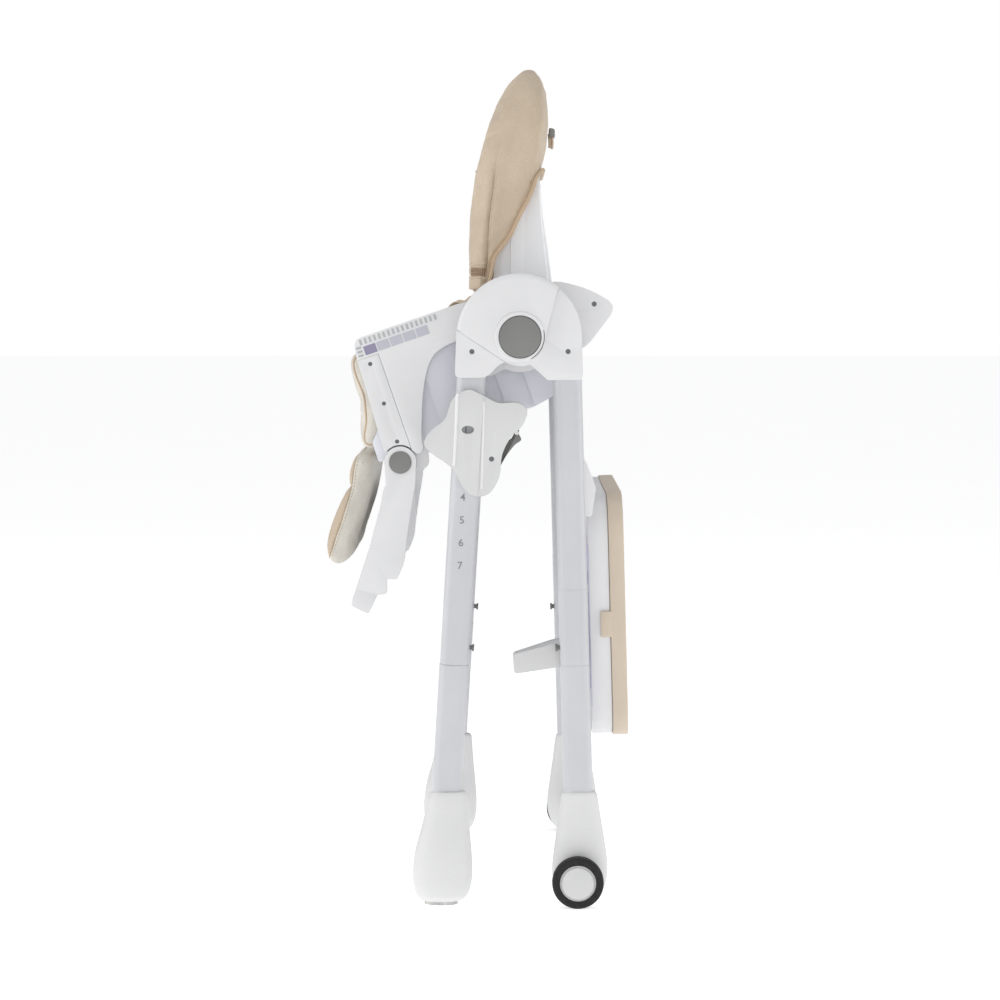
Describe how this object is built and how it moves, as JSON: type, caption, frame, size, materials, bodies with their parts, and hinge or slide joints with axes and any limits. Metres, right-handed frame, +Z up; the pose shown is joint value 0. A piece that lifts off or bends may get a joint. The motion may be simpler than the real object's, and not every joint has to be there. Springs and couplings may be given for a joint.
{
  "type": "folding baby high chair",
  "caption": "Folding baby high chair on oval legs with wheels, bucket seat, reclining back, legrest and detachable tray, shown folded.",
  "frame": {"origin": "on the floor, at the middle of the folded chair's bounding box", "axes": "+Z up, -Y the front of the chair, +X the sitter's left"},
  "size_m": [0.567, 0.3844, 1.0507],
  "materials": {
    "white_plastic": "satin moulded plastic",
    "tube": "white powder coat",
    "rubber": "matt",
    "tyre": "matt",
    "steel": "bright",
    "stud": "matt",
    "screw": "dark plated",
    "grey_plastic": "satin",
    "dark_plastic": "satin",
    "print": "printed film",
    "beige_fabric": "coated fabric",
    "cream_fabric": "coated fabric",
    "webbing": "woven webbing",
    "beige_plastic": "satin moulded plastic"
  },
  "bodies": {
    "front_frame": {"front_leg_left": "tube", "front_leg_right": "tube", "front_boot_left": "white_plastic", "front_boot_right": "white_plastic", "front_foot_pads": "rubber", "front_cross_tube": "tube", "front_socket_left": "white_plastic", "front_socket_right": "white_plastic", "hub_cover_left": "white_plastic", "hub_cover_right": "white_plastic", "hub_pins": "steel", "front_basket_studs": "stud", "front_screws": "screw"},
    "rear_frame": {"rear_leg_left": "tube", "rear_leg_right": "tube", "rear_boot_left": "white_plastic", "rear_boot_right": "white_plastic", "rear_cross_tube": "tube", "rear_socket_left": "white_plastic", "rear_socket_right": "white_plastic", "rear_basket_studs": "stud", "rear_screws": "screw", "tray_hooks": "white_plastic", "leg_bracket": "white_plastic", "wheel_axles": "steel"},
    "wheel_left": {"wheel_tyre_left": "tyre", "wheel_rim_left": "white_plastic"},
    "wheel_right": {"wheel_tyre_right": "tyre", "wheel_rim_right": "white_plastic"},
    "button_left": {"fold_button_left": "grey_plastic"},
    "button_right": {"fold_button_right": "grey_plastic"},
    "seat": {"carriage_left": "white_plastic", "carriage_right": "white_plastic", "seat_side_left": "white_plastic", "seat_side_right": "white_plastic", "side_front_left": "white_plastic", "side_front_right": "white_plastic", "armrest_marks": "print", "seat_shell": "white_plastic", "seat_pad": "beige_fabric", "seat_wings": "cream_fabric", "seat_screws": "screw", "crotch_strap": "webbing", "harness_buckle": "dark_plastic", "legrest_pins": "steel"},
    "lever_left": {"height_lever_left": "dark_plastic"},
    "lever_right": {"height_lever_right": "dark_plastic"},
    "backrest": {"back_shell": "white_plastic", "back_pad": "beige_fabric", "back_strap": "webbing", "strap_adjuster": "dark_plastic", "shoulder_straps": "webbing"},
    "handle": {"recline_handle": "grey_plastic"},
    "legrest": {"legrest_panel": "white_plastic", "foot_plate": "white_plastic"},
    "rest_button_left": {"legrest_button_left": "grey_plastic"},
    "rest_button_right": {"legrest_button_right": "grey_plastic"},
    "flap": {"leg_flap": "cream_fabric"},
    "tray": {"tray_base": "white_plastic"},
    "tray_cover": {"tray_top": "beige_plastic"}
  },
  "joints": [
    {"name": "frame_fold", "type": "hinge", "parent": "front_frame", "child": "rear_frame", "pos_m": [0, 0.061, 0.707], "axis": [1, 0, 0], "range_deg": [0, 40]},
    {"name": "wheel_left_spin", "type": "hinge", "parent": "rear_frame", "child": "wheel_left", "pos_m": [0.273, 0.133, 0.032], "axis": [1, 0, 0], "continuous": true},
    {"name": "wheel_right_spin", "type": "hinge", "parent": "rear_frame", "child": "wheel_right", "pos_m": [-0.273, 0.133, 0.032], "axis": [1, 0, 0], "continuous": true},
    {"name": "fold_button_left_press", "type": "slide", "parent": "front_frame", "child": "button_left", "axis": [-1, 0, 0], "range_m": [0, 0.005], "stiffness_N_per_m": 600},
    {"name": "fold_button_right_press", "type": "slide", "parent": "front_frame", "child": "button_right", "axis": [1, 0, 0], "range_m": [0, 0.005], "stiffness_N_per_m": 600},
    {"name": "seat_height", "type": "slide", "parent": "front_frame", "child": "seat", "axis": [0, 0.0602, 0.9982], "range_m": [-0.169, 0]},
    {"name": "height_lever_left_squeeze", "type": "hinge", "parent": "seat", "child": "lever_left", "pos_m": [0.245, 0.057, 0.589], "axis": [-1, 0, 0], "range_deg": [0, 12], "stiffness_Nm_per_rad": 0.5},
    {"name": "height_lever_right_squeeze", "type": "hinge", "parent": "seat", "child": "lever_right", "pos_m": [-0.245, 0.057, 0.589], "axis": [-1, 0, 0], "range_deg": [0, 12], "stiffness_Nm_per_rad": 0.5},
    {"name": "backrest_recline", "type": "hinge", "parent": "seat", "child": "backrest", "pos_m": [0, 0.102, 0.658], "axis": [-1, 0, 0], "range_deg": [0, 35]},
    {"name": "recline_handle_pull", "type": "slide", "parent": "backrest", "child": "handle", "axis": [0, 0, 1], "range_m": [0, 0.008], "stiffness_N_per_m": 500},
    {"name": "legrest_tilt", "type": "hinge", "parent": "seat", "child": "legrest", "pos_m": [0, -0.088, 0.55], "axis": [-1, 0, 0], "range_deg": [0, 50]},
    {"name": "legrest_button_left_press", "type": "slide", "parent": "legrest", "child": "rest_button_left", "axis": [-1, 0, 0], "range_m": [0, 0.003], "stiffness_N_per_m": 500},
    {"name": "legrest_button_right_press", "type": "slide", "parent": "legrest", "child": "rest_button_right", "axis": [1, 0, 0], "range_m": [0, 0.003], "stiffness_N_per_m": 500},
    {"name": "leg_flap_swing", "type": "hinge", "parent": "seat", "child": "flap", "pos_m": [0, -0.129, 0.566], "axis": [-1, 0, 0], "range_deg": [0, 60]},
    {"name": "tray_lift", "type": "slide", "parent": "rear_frame", "child": "tray", "axis": [0, -0.0276, 0.9996], "range_m": [0, 0.06]},
    {"name": "tray_cover_off", "type": "slide", "parent": "tray", "child": "tray_cover", "axis": [0, 0.9996, 0.0276], "range_m": [0, 0.05]}
  ],
  "couplings": [
    {"joint": "leg_flap_swing", "follows": "legrest_tilt", "ratio": 1.2}
  ]
}
